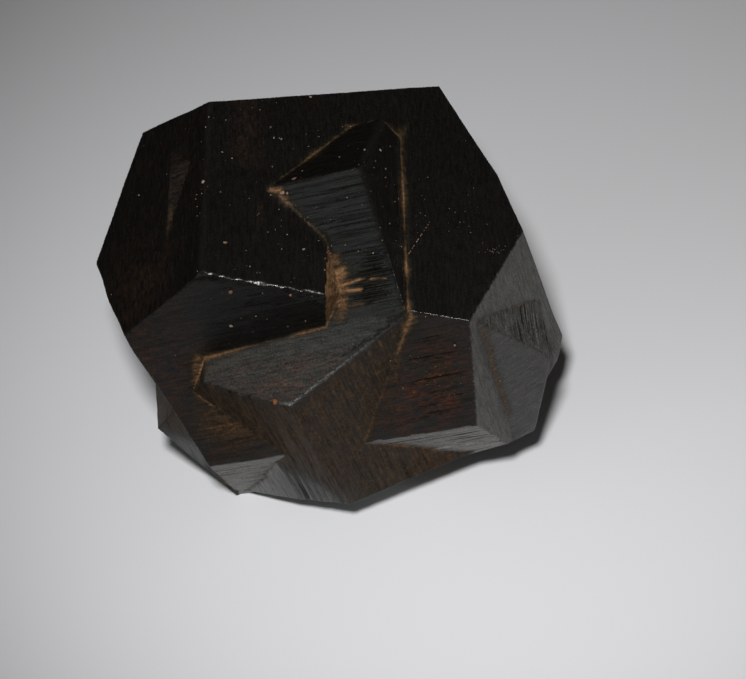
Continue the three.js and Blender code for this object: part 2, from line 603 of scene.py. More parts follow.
@dataclass
class SecondCrystal:
    """The lower crystal, whose ridge, apron and prow break through the first one."""

    window_back: Face = Face((-0.35, 2, 0.15), 9.3, Axis.B)
    window_corner: Face = Face((2, 1.56, 0.45), 15.0, Axis.B)
    ridge_sink: float = 2.4

    def faces(self) -> dict:
        """Gives its growth faces.

        Returns:
            The faces by name.
        """
        return {
            "ridge_back": Face((-0.06, 0.81, 2), 15.7, Axis.A, FAINT, coat=BARE),
            "ridge_front": Face(
                (-0.06, -0.82, 2),
                15.2,
                Axis.A,
                COMBED,
                self.ridge_ledges(),
                (self.ridge_comb(),),
                BARE,
                lined=1.0,
            ),
            "apron": Face((-0.07, -0.95, 2), 15.85, Axis.A, SATIN, coat=Coat(0.55, 0.0, 0.26)),
            "flank_right": Face((2, -0.01, 0.96), 14.15, Axis.B, FAINT, coat=BARE),
            "flank_right_low": Face((2, 0, -1), 15.6, Axis.B, LINED),
            "flank_left": Face(
                (-2, -0.19, 1.42), 15.8, Axis.B, SATIN, coat=Coat(0.3, 0.25, dull=0.3)
            ),
            "flank_left_low": Face((-2, 0.02, -0.93), 19.4, Axis.B, SATIN),
            "prow_right": Face((0.94, -2, 0.13), 17.6, Axis.C, SATIN, coat=OLIVE),
            "prow_left": Face(
                (-0.93, -2, -0.02),
                19.6,
                Axis.C,
                SATIN,
                combs=self.prow_combs(),
                coat=Coat(0.25, 0.26, dull=0.35),
                lined=0.6,
            ),
            "stern_right": Face((1, 2, 0), 18.4, Axis.C, LINED),
            "stern_left": Face((-1.05, 2, 0.05), 18.6, Axis.C, STEPPED),
            "bilge_front": Face((0.06, -1.11, -2), 18.7, Axis.A, SATIN),
            "bilge_back": Face((0, 0.95, -2), 17.9, Axis.A, LINED),
        }

    def ridge_ledges(self) -> Ledges:
        """The fine flight of ledges down the ridge's front."""
        return Ledges("ridge_back", 0.26, 9.5, 26, 0.04, 8)

    def ridge_comb(self) -> Comb:
        """The bolder grooves low on the ridge's front."""
        return Comb((8.0, -7.4, 13.6), (6.7, -12.4, 11.7), 15, (2.4, 6.4), 0.3, 0.11, 21)

    def prow_combs(self) -> tuple:
        """The grooves beside the prow's foot."""
        return (Comb((-7.1, -18.3, -7.4), (-2.3, -20.6, -8.2), 9, (8.5, 5.5), 0.5, 0.2, 9),)

    def build(self) -> JoinedSolid:
        """Builds it with its sunk part behind the window and the prow's facet.

        Returns:
            The joined solid.
        """
        faces = self.faces()
        window = {"window_back": self.window_back, "window_corner": self.window_corner}
        glints = (
            Smear((10.2, -14.2, 11.2), (-2.7, -20.1, 7.9), 0.7, 0.16),
            Smear((-2.7, -20.1, 7.9), (-8.8, -17.6, 8.5), 0.5, 0.08),
        )
        windowed = Crystal({**faces, **window}, wear=0.02, seed=2.0, glints=glints)
        back = faces["ridge_back"]
        sunk = Face(back.indices, back.distance - self.ridge_sink, back.run, back.relief)
        plain = Face(faces["ridge_front"].indices, faces["ridge_front"].distance, Axis.A)
        behind_faces = {**faces, "ridge_front": plain, "ridge_back": sunk}
        behind = Crystal(behind_faces, wear=0.02, seed=2.0)
        facet = Crystal(
            {
                "inner": Face((1.23, 2, 0.02), -19.37, Axis.C, SATIN, coat=BRIGHT_FLOOR_SHEEN, lined=0.4),
                "top": Face((0, 0, 1), -2.5, Axis.C),
                "left": Face((-1, 0, 0), 14.9, Axis.C),
                "right": Face((1, 0, 0), -6.0, Axis.C),
            },
            wear=0.03,
        )
        return JoinedSolid([windowed, behind], [facet])


@dataclass
class Boss:
    """The small crystal on the right cheek, in the second crystal's position."""

    def build(self) -> Crystal:
        """Builds it.

        Returns:
            The crystal.
        """
        left = Comb((17.2, -12.3, 3.8), (18.6, -10.4, 0.6), 4, (2.4, 3.6), 0.5, 0.10, 12)
        right = Comb((18.7, -9.6, -0.2), (20.7, -7.4, -5.0), 11, (4.0, 6.0), 0.32, 0.2, 13)
        ledges = Ledges("under", 0.36, 1.4, 4, 0.1, 3)
        faces = {
            "top": Face(
                (2, 0.2, 0.97),
                16.3,
                Axis.B,
                COMBED,
                ledges,
                (left, right),
                Coat(0.1, 0.0, 0.85),
                lined=0.8,
            ),
            "front": Face((1.055, -2, 0.03), 19.77, Axis.A, SATIN, coat=HALF_FLOOR_SHEEN, lined=0.12),
            "under": Face((2, 0.18, -0.91), 20.5, Axis.B, SATIN),
            "bilge_front": Face((0.06, -1.11, -2), 18.7, Axis.A, SATIN),
            "inner_side": Face((-1, 0, 0), -15.0, Axis.B),
            "inner_back": Face((0, 1, 0), 0.0, Axis.A),
            "inner_top": Face((0, 0, 1), 7.0, Axis.A),
        }
        return Crystal(faces, wear=0.10, seed=5.0)


@dataclass
class Notch:
    """The notch beside the second crystal, where the first one's edge stopped growing."""

    wall_high: Face = Face((-2, 0.06, -0.96), -9.11, Axis.B, FAINT, coat=OCHRE)
    wall_low: Face = Face((-2, 1.25, 0.09), -8.59, Axis.B, FAINT, coat=OCHRE)
    floor_sink: float = 0.2

    def build(self, flank: Face, floors: Sequence) -> list:
        """The cutting solids.

        Args:
            flank: The second crystal's face that bounds the notch.
            floors: The second crystal's faces that floor it.

        Returns:
            One solid for each wall and floor.
        """
        solids = []
        for wall in (self.wall_high, self.wall_low):
            for floor in floors:
                turned = tuple(-value for value in floor.indices)
                sides = {
                    "wall": wall,
                    "flank": Face(flank.indices, flank.distance, Axis.B),
                    "behind": Face((0, 1, 0), 0.0, Axis.A),
                    "floor": Face(turned, self.floor_sink - floor.distance, Axis.A),
                }
                solids.append(Crystal(sides, wear=0.08, seed=3.0))
        return solids


@dataclass
class TwinCluster:
    """The whole cluster: both crystals, the boss, the wedge, the notch and the coats.

    Each table of places holds where something is more or less than its usual share: the ochre in the
    creases (pockets), the surface's height (swells), ochre on a face (smears), rust, lost shine (dulls),
    coats rubbed off (rubbed), clear lines, and painted sheen (a grey reflection of the pale floor, with
    painted highlights along the apron's rim).
    """

    # Fillets of ochre in the creases: the least reach, its growth with the ochre, the share
    # of it round the boss, and the wedge's own.
    FILLET = 0.12
    FILLET_GAIN = 0.1
    BOSS_FILLET = 0.5
    WEDGE_FILLET = 0.2
    # The faces' waviness, as heights and sizes.
    WAVE, WAVE_SIZE = 0.035, 3.7
    RIPPLE, RIPPLE_SIZE = 0.012, 0.9
    WAVE_REACH = 0.8
    GAIN_SIZE = 2.6
    # How near the surface, and the next face, a place has to be to count as a worn edge.
    ON_SURFACE = (0.3, 0.1)
    NEAR_EDGE = (0.35, 0.05)
    SAME_DEPTH = 0.02
    MOST_COAT = 3.0

    wedge_corners: tuple = (
        (-12.7, 8, 16.7),
        (-10, 4.8, 18.15),
        (-9.7, 4.3, 18.3),
        (-12.2, 5.2, 17.9),
        (-12.9, -4.2, 16.8),
        (-11.6, 2, 15.5),
    )
    chip_corners: tuple = (
        (-4.6, -18.5, 8.7),
        (-3.9, -18.7, 8.7),
        (-4.3, -19.6, 8.9),
        (-4.2, -19.2, 8.0),
        (-4.2, -18.4, 9.4),
    )
    # The ochre in a crease is a wide thin film and a narrow thick core: widths and covers.
    film: float = 0.5
    core: float = 0.1
    film_cover: float = 0.2
    core_cover: float = 0.42
    usual_gain: float = 0.6
    pockets: tuple = (
        Pocket((9.9, 10.0, 11.5), 2.4, 0.5),
        Pocket((7.0, 12.0, 12.4), 2.0, 0.4),
        Pocket((10.2, 0.0, 11.2), 6.0, 0.25),
        Pocket((10.2, -9.6, 11.4), 1.6, 1.0),
        Pocket((3.2, -9.4, 13.2), 2.2, 0.4),
        Pocket((-1.0, -1.5, 15.8), 1.6, 0.8),
        Pocket((-11.0, -15.4, 9.4), 2.2, 0.9),
        Pocket((-9.0, -17.6, 3.0), 4.0, -0.3),
        Pocket((10.2, -14.2, 9.0), 2.4, 0.7),
        Pocket((6.5, -17.4, -6.5), 4.0, 0.3),
    )
    swells: tuple = (
        Pocket((20.1, -4.2, -12.9), 2.2, 0.5),
        Pocket((-19.8, -7.8, 12.8), 3.5, 0.2),
        Pocket((-17.4, -13.6, 12.2), 3.0, 0.2),
        Smear((-8.9, -5.0, 18.7), (-9.2, -8.4, 18.8), 0.18, 0.14),
        Smear((-12.9, -4.2, 17.0), (-12.9, -6.0, 17.0), 0.2, 0.14),
    )
    smears: tuple = (
        Smear((4.3, -10.2, 12.6), (6.0, -10.0, 12.7), 0.17, 0.62),
        Smear((6.0, -10.0, 12.7), (8.6, -10.4, 12.6), 0.10, 0.5),
        Smear((4.5, -10.8, 12.4), (6.0, -11.0, 12.3), 0.26, 0.55),
        Smear((3.9, -12.3, 11.9), (6.0, -12.4, 11.9), 0.3, 0.36),
        Smear((3.7, -8.3, 13.5), (5.6, -8.4, 13.5), 0.2, 0.34),
        Pocket((3.7, -7.8, 13.6), 0.8, 0.42),
        Pocket((4.0, -9.2, 13.1), 1.0, 0.5),
        Pocket((3.9, -10.6, 12.5), 1.0, 0.46),
        Pocket((3.8, -11.9, 12.0), 1.0, 0.44),
        Pocket((3.5, -13.1, 11.4), 0.9, 0.36),
        Smear((5.4, 9.5, 13.5), (7.4, 9.9, 13.2), 0.22, 0.3),
        Smear((7.4, 9.9, 13.2), (9.2, 9.6, 12.6), 0.26, 0.34),
        Smear((9.2, 9.6, 12.6), (10.3, 8.5, 11.5), 0.34, 0.34),
        Smear((-12.7, 7.0, 16.9), (-12.9, -3.6, 17.0), 0.28, 0.12),
        Smear((-12.0, 0.5, 17.3), (-12.8, -3.6, 17.0), 0.5, 0.17),
        Pocket((-10.5, -17.4, 3.0), 4.5, 0.25),
        Pocket((11.0, -16.4, 4.0), 3.0, 0.12),
        Smear((-11.4, -14.3, 10.4), (-12.4, -15.7, 7.9), 0.8, 0.34),
        Smear((-12.2, -15.9, 7.4), (-6.6, -18.5, -0.8), 0.9, 0.2),
        Smear((9.9, -14.3, 9.8), (5.0, -17.6, -0.2), 0.45, 0.2),
        Smear((-1.9, 0.2, 16.5), (-1.1, 0.1, 16.6), 0.4, 0.5),
        Smear((-2.7, -20.4, 6.0), (-2.0, -20.65, -4.0), 0.14, 0.36),
        Smear((16.6, -13.3, 5.6), (16.2, -13.9, -0.5), 0.5, 0.3),
        Smear((16.2, -13.9, -0.5), (15.8, -14.0, -8.5), 0.5, 0.26),
        Smear((-8.9, -4.6, 18.8), (-9.4, -8.4, 18.7), 0.12, 0.14),
    )
    rusts: tuple = (
        Pocket((11.0, -16.6, 3.2), 4.2, 0.45),
        Pocket((8.0, -17.6, 0.5), 3.0, 0.35),
        Pocket((-14.0, -14.4, 9.8), 3.0, 0.25),
        Pocket((-10.3, -17.2, 2.5), 4.0, 0.25),
        Pocket((-3.9, -17.6, 9.0), 3.0, 0.35),
        Pocket((0.9, -17.1, 9.4), 2.5, 0.3),
        Pocket((-15.0, -8.5, 15.8), 5.5, 0.26),
        Smear((-4.2, 12.5, 17.6), (-4.4, 4.5, 17.7), 1.3, 0.2),
        Smear((-3.0, -2.2, 17.0), (-3.1, -6.0, 17.0), 0.5, 0.25),
        Pocket((3.0, -12.8, 13.6), 6.0, -0.6),
        Pocket((-5.0, -12.2, 15.0), 6.5, -0.6),
        Pocket((8.5, -14.3, 11.3), 4.0, -0.4),
        Pocket((14.8, -15.0, 2.0), 2.4, -0.3),
        Pocket((7.6, -16.6, -10.8), 3.6, 0.5),
    )
    dulls: tuple = (
        Pocket((-11.6, 6.4, 17.4), 1.2, 1.0),
        Smear((-8.37, -10.6, 19.3), (-7.6, 14.0, 19.2), 0.3, 1.0),
        Smear((7.2, 2.8, 17.7), (10.2, -13.2, 11.3), 0.35, 1.3),
        Smear((3.0, -5.2, 14.6), (3.9, -12.6, 11.7), 0.3, 1.3),
        Smear((7.6, 2.0, 16.4), (9.2, 9.6, 13.3), 0.4, 1.2),
    )
    rubbed: tuple = (
        Smear((9.6, -14.4, 10.8), (-2.7, -20.1, 7.9), 0.3, 1.0),
        Smear((-2.7, -20.1, 7.9), (-8.8, -17.6, 8.5), 0.25, 0.8),
        Pocket((-7.0, -18.4, -9.2), 3.8, 1.2),
        Pocket((-3.6, -20.0, -10.4), 2.6, 0.5),
        Pocket((-18.2, -13.1, -6.4), 3.4, 1.2),
    )
    # Where the growth lines are clearer: a bolder bump, and more painted shade in the grooves.
    lines: tuple = (
        Pocket((-7.0, -18.4, -8.6), 4.0, 0.5),
        Pocket((19.7, -9.0, -2.5), 3.0, 0.5),
    )
    # Painted sheen: more or less of the pale floor's grey reflection painted on in pockets, and none on the
    # wedge's top.
    painted_sheens: tuple = (
        Pocket((-11.6, 6.8, 17.4), 1.2, -1.0),
        Pocket((-7.0, -18.4, -8.6), 4.0, 0.9),
        Pocket((-3.6, -20.0, -10.0), 3.0, 0.5),
        Pocket((-18.2, -13.1, -6.4), 3.0, 1.0),
        # Painted highlights: two bright streaks painted along the apron's rim, where the lamp glints.
        Smear((9.6, -14.4, 10.8), (-2.7, -20.1, 7.9), 0.1, 2.3),
        Smear((-2.7, -20.1, 7.9), (-8.0, -17.9, 8.4), 0.1, 1.6),
    )

    def __post_init__(self) -> None:
        """Builds the solids."""
        second = SecondCrystal()
        second_faces = second.faces()
        floors = [second_faces["ridge_front"], second_faces["apron"]]
        self.first_crystal = FirstCrystal().build()
        self.notches = Notch().build(second_faces["flank_right"], floors)
        self.second = second.build()
        self.boss = Boss().build()
        self.wedge = crystal_between(self.wedge_corners, Axis.A, wear=0.06)
        self.chip = crystal_between(self.chip_corners, Axis.A, wear=0.06)
        self.to_row = np.array(RESTING_TURN.to_matrix())
        self.centre = np.array(TWIN_CENTRE)

    def bodies(self, points: np.ndarray) -> list:
        """The heights over the cluster's solids.

        Args:
            points: n by 3 points, in mm.

        Returns:
            n heights over each of the first crystal, the second, the boss and the wedge.
        """
        first = self.first_crystal.depth(points)
        for notch in self.notches:
            first = np.maximum(first, -notch.depth(points))
        others = (self.second, self.boss, self.wedge)
        return [first, *(solid.depth(points) for solid in others)]

    def gain(self, points: np.ndarray) -> np.ndarray:
        """How thick the ochre lies in the creases near each point.

        Args:
            points: n by 3 points, in mm.

        Returns:
            n gains, 1 being usual.
        """
        gain = np.full(len(points), self.usual_gain)
        for pocket in self.pockets:
            gain = gain + pocket.share(points)
        uneven = 1.0 + 0.6 * NOISE.at(points / self.GAIN_SIZE + 31.0)
        return gain * np.clip(uneven, 0.2, 1.8)

    def depth(self, points: np.ndarray) -> np.ndarray:
        """The height over the cluster's surface.

        Args:
            points: n by 3 points, in mm along the crystal axes.

        Returns:
            n heights in mm, below zero inside.
        """
        first, second, boss, wedge = self.bodies(points)
        reach = self.FILLET + self.FILLET_GAIN * self.gain(points)
        depth = blended_least(first, second, reach)
        depth = blended_least(depth, boss, reach * self.BOSS_FILLET)
        depth = blended_least(depth, wedge, self.WEDGE_FILLET)
        depth = np.maximum(depth, -self.chip.depth(points))
        for swell in self.swells:
            depth = depth - swell.share(points)
        near = np.abs(depth) < self.WAVE_REACH
        place = points[near]
        waves = self.WAVE * NOISE.at(place / self.WAVE_SIZE + 5.0)
        depth[near] += waves + self.RIPPLE * NOISE.at(place / self.RIPPLE_SIZE + 9.0)
        floor = -(points @ self.to_row[2] + self.centre[2])
        return np.maximum(depth, floor)

    def ochre(self, points: np.ndarray) -> np.ndarray:
        """How much ochre covers each point of the surface.

        Args:
            points: n by 3 points on the surface, in mm.

        Returns:
            n shares from 0 to 1.
        """
        first, second, boss, wedge = self.bodies(points)
        gain = self.gain(points)
        cover = np.zeros(len(points))
        pairs = [(first, second, 1.0), (np.minimum(first, second), boss, 0.5), (first, wedge, 0.3)]
        for one, other, share in pairs:
            crease = np.maximum(np.abs(one), np.abs(other))
            spread = crease / np.sqrt(gain)
            film = self.film_cover * np.exp(-((spread / self.film) ** 2))
            core = self.core_cover * np.exp(-((spread / self.core) ** 2))
            cover = np.maximum(cover, share * np.clip(gain, 0.2, 2.0) * (film + core))
        for smear in self.smears:
            cover = np.maximum(cover, smear.share(points))
        return np.clip(cover, 0.0, 1.0)

    def pocketed(self, pockets: Sequence, points: np.ndarray, base: np.ndarray) -> np.ndarray:
        """A coat's share at each point, with the pockets where it is thicker or thinner.

        Args:
            pockets: The pockets.
            points: n by 3 points, in mm.
            base: The share on each point's face.

        Returns:
            n shares from 0 to 3.
        """
        share = base.copy()
        for pocket in pockets:
            share = share + pocket.share(points)
        return np.clip(share, 0.0, self.MOST_COAT)

    def wear(self, points: np.ndarray) -> np.ndarray:
        """How near each point is to a worn edge.

        Args:
            points: n by 3 points on the surface, in mm.

        Returns:
            n shares, 1 being on the edge.
        """
        edge = np.zeros(len(points))
        for solid in [self.first_crystal, self.second.parts[0], self.boss]:
            heights = np.sort(solid.heights(points), axis=1)
            on_it = smooth_step(*self.ON_SURFACE, np.abs(heights[:, -1]))
            close = smooth_step(*self.NEAR_EDGE, heights[:, -1] - heights[:, -2])
            edge = np.maximum(edge, on_it * close)
        return edge

    def nearest_face(self, points: np.ndarray) -> tuple:
        """The face that each point lies on.

        Args:
            points: n by 3 points on the surface, in mm.

        Returns:
            The list of faces, and n indices into it.
        """
        second = [*self.second.parts, *self.second.cuts]
        solids = [self.first_crystal, *second, self.boss, *self.notches, self.wedge]
        faces = []
        best = np.full(len(points), np.inf)
        index = np.zeros(len(points), int)
        for solid in solids:
            heights = solid.heights(points)
            top = heights.argmax(axis=1)
            gap = np.abs(heights.max(axis=1))
            closer = gap < best - self.SAME_DEPTH
            index[closer] = top[closer] + len(faces)
            best[closer] = gap[closer]
            faces.extend(solid.faces.values())
        return faces, index

    def row_place(self, points: np.ndarray) -> np.ndarray:
        """The points in metres in the frame's axes."""
        return (points @ self.to_row.T + self.centre) * MM


@dataclass
class SurfaceNet:
    """Meshes the surface where a depth is zero, on a cubic lattice; lengths in mm."""

    depth: Callable
    low: np.ndarray
    high: np.ndarray
    pitch: float
    block: int = 4
    batch: int = 200_000

    # Any depth well past the lattice's pitch stands for the inside or the outside.
    FAR = 9.0
    HALF_DIAGONAL = 0.87
    LEAST_SLOPE = 0.25

    def sampled(self, points: np.ndarray) -> np.ndarray:
        """The depths at many points, worked out batch by batch."""
        parts = [self.depth(points[i : i + self.batch]) for i in range(0, len(points), self.batch)]
        return np.concatenate(parts)

    def lattice(self) -> np.ndarray:
        """The depths on the lattice, exact near the surface and only signed elsewhere.

        Returns:
            A three-dimensional array of depths.
        """
        span = self.block * self.pitch
        counts = np.ceil((self.high - self.low) / span).astype(int) + 1
        blocks = np.indices(counts).reshape(3, -1).T
        middles = self.low + (blocks + 0.5) * span - self.pitch / 2
        rough = self.sampled(middles)
        whole = rough.reshape(counts)
        for axis in range(3):
            whole = np.repeat(whole, self.block, axis)
        whole = np.sign(whole).astype(np.float32) * self.FAR
        near = blocks[np.abs(rough) < span * self.HALF_DIAGONAL + self.pitch * 2]
        inner = np.indices((self.block,) * 3).reshape(3, -1).T
        nodes = (near[:, None, :] * self.block + inner[None, :, :]).reshape(-1, 3)
        whole[tuple(nodes.T)] = self.sampled(self.low + nodes * self.pitch)
        return whole

    def starts(self, values: np.ndarray, cells: np.ndarray) -> np.ndarray:
        """The middle of the edge crossings in each cell.

        Args:
            values: The depths on the lattice.
            cells: n by 3 cells that the surface passes through.

        Returns:
            n by 3 points, in lattice steps.
        """
        total = np.zeros((len(cells), 3))
        count = np.zeros(len(cells))
        corners = [np.array([number >> axis & 1 for axis in range(3)]) for number in range(8)]
        for one, other in combinations(corners, 2):
            if np.abs(one - other).sum() != 1:
                continue
            start = values[tuple((cells + one).T)]
            end = values[tuple((cells + other).T)]
            crossed = (start < 0) != (end < 0)
            share = (start / np.where(crossed, start - end, 1.0))[:, None]
            total[crossed] += (cells + one + share * (other - one))[crossed]
            count += crossed
        return total / count[:, None]

    def settled(self, points: np.ndarray, rounds: int = 3) -> np.ndarray:
        """The points moved onto the surface, along the depth's slope.

        Args:
            points: n by 3 points near the surface, in mm.
            rounds: How often they are moved, each time by the pitch at most.

        Returns:
            The n by 3 points.
        """
        for _ in range(rounds):
            depth, slope = self.slope(points)
            move = -depth / np.maximum((slope**2).sum(axis=1), self.LEAST_SLOPE)
            move = np.clip(move, -self.pitch, self.pitch)
            points = points + move[:, None] * slope
        return points

    def slope(self, points: np.ndarray, step: float = 0.02) -> tuple:
        """The depth at each point, and its slope.

        Args:
            points: n by 3 points, in mm.
            step: The length over which the slope is taken, in mm.

        Returns:
            n depths and n by 3 slopes.
        """
        depth = self.sampled(points)
        slopes = []
        for axis in range(3):
            offset = np.zeros(3)
            offset[axis] = step
            slopes.append((self.sampled(points + offset) - depth) / step)
        return depth, np.stack(slopes, 1)

    def facing(self, points: np.ndarray) -> np.ndarray:
        """The outward unit normals at points on the surface."""
        _, slope = self.slope(points)
        return slope / np.maximum(np.linalg.norm(slope, axis=1), TINY)[:, None]

    def build(self) -> tuple:
        """The mesh.

        Returns:
            Its vertices, in mm, and its quads as rows of four vertex numbers.
        """
        values = self.lattice()
        inside = values < 0
        count = np.zeros(tuple(size - 1 for size in inside.shape), np.uint8)
        for number in range(8):
            starts = [number >> axis & 1 for axis in range(3)]
            ends = [start + size for start, size in zip(starts, count.shape)]
            count += inside[tuple(map(slice, starts, ends))]
        cells = np.argwhere((count > 0) & (count < 8))
        numbers = np.full(count.shape, -1, np.int32)
        numbers[tuple(cells.T)] = np.arange(len(cells))
        points = self.low + self.starts(values, cells) * self.pitch
        quads = []
        for axis in range(3):
            ahead = [slice(None)] * 3
            ahead[axis] = slice(1, None)
            behind = [slice(None)] * 3
            behind[axis] = slice(None, -1)
            crossed = np.argwhere(inside[tuple(behind)] != inside[tuple(ahead)])
            outward = inside[tuple(crossed.T)]
            second, third = (axis + 1) % 3, (axis + 2) % 3
            ring = []
            for step_second, step_third in ((0, 0), (1, 0), (1, 1), (0, 1)):
                cell = crossed.copy()
                cell[:, second] -= 1 - step_second
                cell[:, third] -= 1 - step_third
                ring.append(numbers[tuple(cell.T)])
            ring = np.stack(ring, 1)
            quads.append(np.where(outward[:, None], ring, ring[:, ::-1]))
        return self.settled(points), np.concatenate(quads)


def mesh_of(name: str, points: np.ndarray, polygons: np.ndarray) -> bpy.types.Mesh:
    """A mesh from arrays.

    Args:
        name: The mesh's name.
        points: n by 3 vertices.
        polygons: Rows of vertex numbers.

    Returns:
        The mesh.
    """
    sides = polygons.shape[1]
    mesh = bpy.data.meshes.new(name)
    mesh.vertices.add(len(points))
    mesh.vertices.foreach_set("co", points.astype(np.float32).ravel())
    mesh.loops.add(polygons.size)
    mesh.loops.foreach_set("vertex_index", polygons.astype(np.int32).ravel())
    mesh.polygons.add(len(polygons))
    mesh.polygons.foreach_set("loop_start", np.arange(0, polygons.size, sides, dtype=np.int32))
    mesh.update(calc_edges=True)
    mesh.validate()
    return mesh


def values_of(items: bpy.types.bpy_prop_collection, name: str, width: int = 1) -> np.ndarray:
    """Reads one property of all the vertices, loops or polygons of a mesh.

    Args:
        items: The vertices, loops or polygons.
        name: The property's name.
        width: How many numbers it holds, 1 for a whole number.

    Returns:
        One number for each item, or one row of numbers where width is over 1.
    """
    if width == 1:
        values = np.zeros(len(items), np.int32)
        items.foreach_get(name, values)
        return values
    values = np.zeros(len(items) * width, np.float32)
    items.foreach_get(name, values)
    return values.reshape(-1, width)


def write_attribute(mesh: bpy.types.Mesh, name: str, values: np.ndarray) -> None:
    """Writes an attribute that a finish reads.

    Args:
        mesh: The mesh.
        name: The attribute's name.
        values: One number for each vertex, or three for each corner.
    """
    if values.ndim == 1:
        attribute = mesh.attributes.new(name, "FLOAT", "POINT")
        attribute.data.foreach_set("value", values.astype(np.float32))
        return
    attribute = mesh.attributes.new(name, "FLOAT_VECTOR", "CORNER")
    attribute.data.foreach_set("vector", values.astype(np.float32).ravel())


def linear(value: str) -> tuple:
    """Turns an sRGB colour to linear.

    Args:
        value: Its hex value, such as "8a5a2c".

    Returns:
        Linear red, green, blue and an alpha of 1.
    """
    levels = []
    for start in (0, 2, 4):
        part = int(value[start : start + 2], 16) / 255
        levels.append(part / 12.92 if part <= 0.04045 else ((part + 0.055) / 1.055) ** 2.4)
    return (*levels, 1.0)


def add_node(
    tree: bpy.types.NodeTree, kind: str, links: Optional[dict] = None, **settings: Any
) -> bpy.types.Node:
    """Adds a node with its settings and links.

    Args:
        tree: The node tree.
        kind: The node's type name.
        links: Input name or number to an output socket to link, or a value to set.
        settings: Properties of the node.

    Returns:
        The node.
    """
    node = tree.nodes.new(kind)
    for key, value in settings.items():
        setattr(node, key, value)
    for key, value in (links or {}).items():
        if isinstance(value, bpy.types.NodeSocket):
            tree.links.new(value, node.inputs[key])
        else:
            node.inputs[key].default_value = value
    return node


def toned(
    tree: bpy.types.NodeTree, source: bpy.types.NodeSocket, stops: Sequence
) -> bpy.types.NodeSocket:
    """Maps a value through colour stops.

    Args:
        tree: The node tree.
        source: The value's socket.
        stops: Pairs of position and hex colour.

    Returns:
        The colour's socket.
    """
    node = add_node(tree, "ShaderNodeValToRGB", {0: source})
    elements = node.color_ramp.elements
    while len(elements) < len(stops):
        elements.new(0.5)
    for element, (place, value) in zip(elements, stops):
        element.position = place
        element.color = linear(value)
    return node.outputs[0]


def layered(tree: bpy.types.NodeTree, base: bpy.types.NodeSocket, layers: Sequence) -> bpy.types.NodeSocket:
    """Lays colours over each other, in order.

    Args:
        tree: The node tree.
        base: The lowest colour's socket.
        layers: Pairs of a share from 0 to 1 and a colour.

    Returns:
        The colour's socket.
    """
    colour = base
    for share, over in layers:
        links = {0: share, 6: colour, 7: over}
        colour = add_node(tree, "ShaderNodeMix", links, data_type="RGBA").outputs[2]
    return colour


def summed(
    tree: bpy.types.NodeTree, pairs: Sequence, offset: float = 0.0, clamped: bool = True
) -> bpy.types.NodeSocket:
    """Adds up products of two.

    Args:
        tree: The node tree.
        pairs: Pairs of a socket and what it is multiplied by, a number or a socket.
        offset: What is added to the sum.
        clamped: Whether the whole sum is kept between 0 and 1.

    Returns:
        The sum's socket.
    """
    total = offset
    for number, (socket, weight) in enumerate(pairs):
        total = add_node(
            tree,
            "ShaderNodeMath",
            {0: socket, 1: weight, 2: total},
            operation="MULTIPLY_ADD",
            use_clamp=clamped and number == len(pairs) - 1,
        ).outputs[0]
    return total


@dataclass(frozen=True)
class Pattern:
    """A noise: how often it repeats along the first, second and third axis, and its detail."""

    repeats: tuple
    detail: float
    roughness: float = 0.6

    def build(self, tree: bpy.types.NodeTree, vector: bpy.types.NodeSocket) -> bpy.types.NodeSocket:
        """Adds the noise.

        Args:
            tree: The node tree.
            vector: The socket of the places at which it is read.

        Returns:
            The noise's socket.
        """
        moved = add_node(tree, "ShaderNodeMapping", {"Vector": vector, "Scale": self.repeats})
        look = {"Scale": 1.0, "Detail": self.detail, "Roughness": self.roughness}
        return add_node(tree, "ShaderNodeTexNoise", {"Vector": moved.outputs[0], **look}).outputs[0]


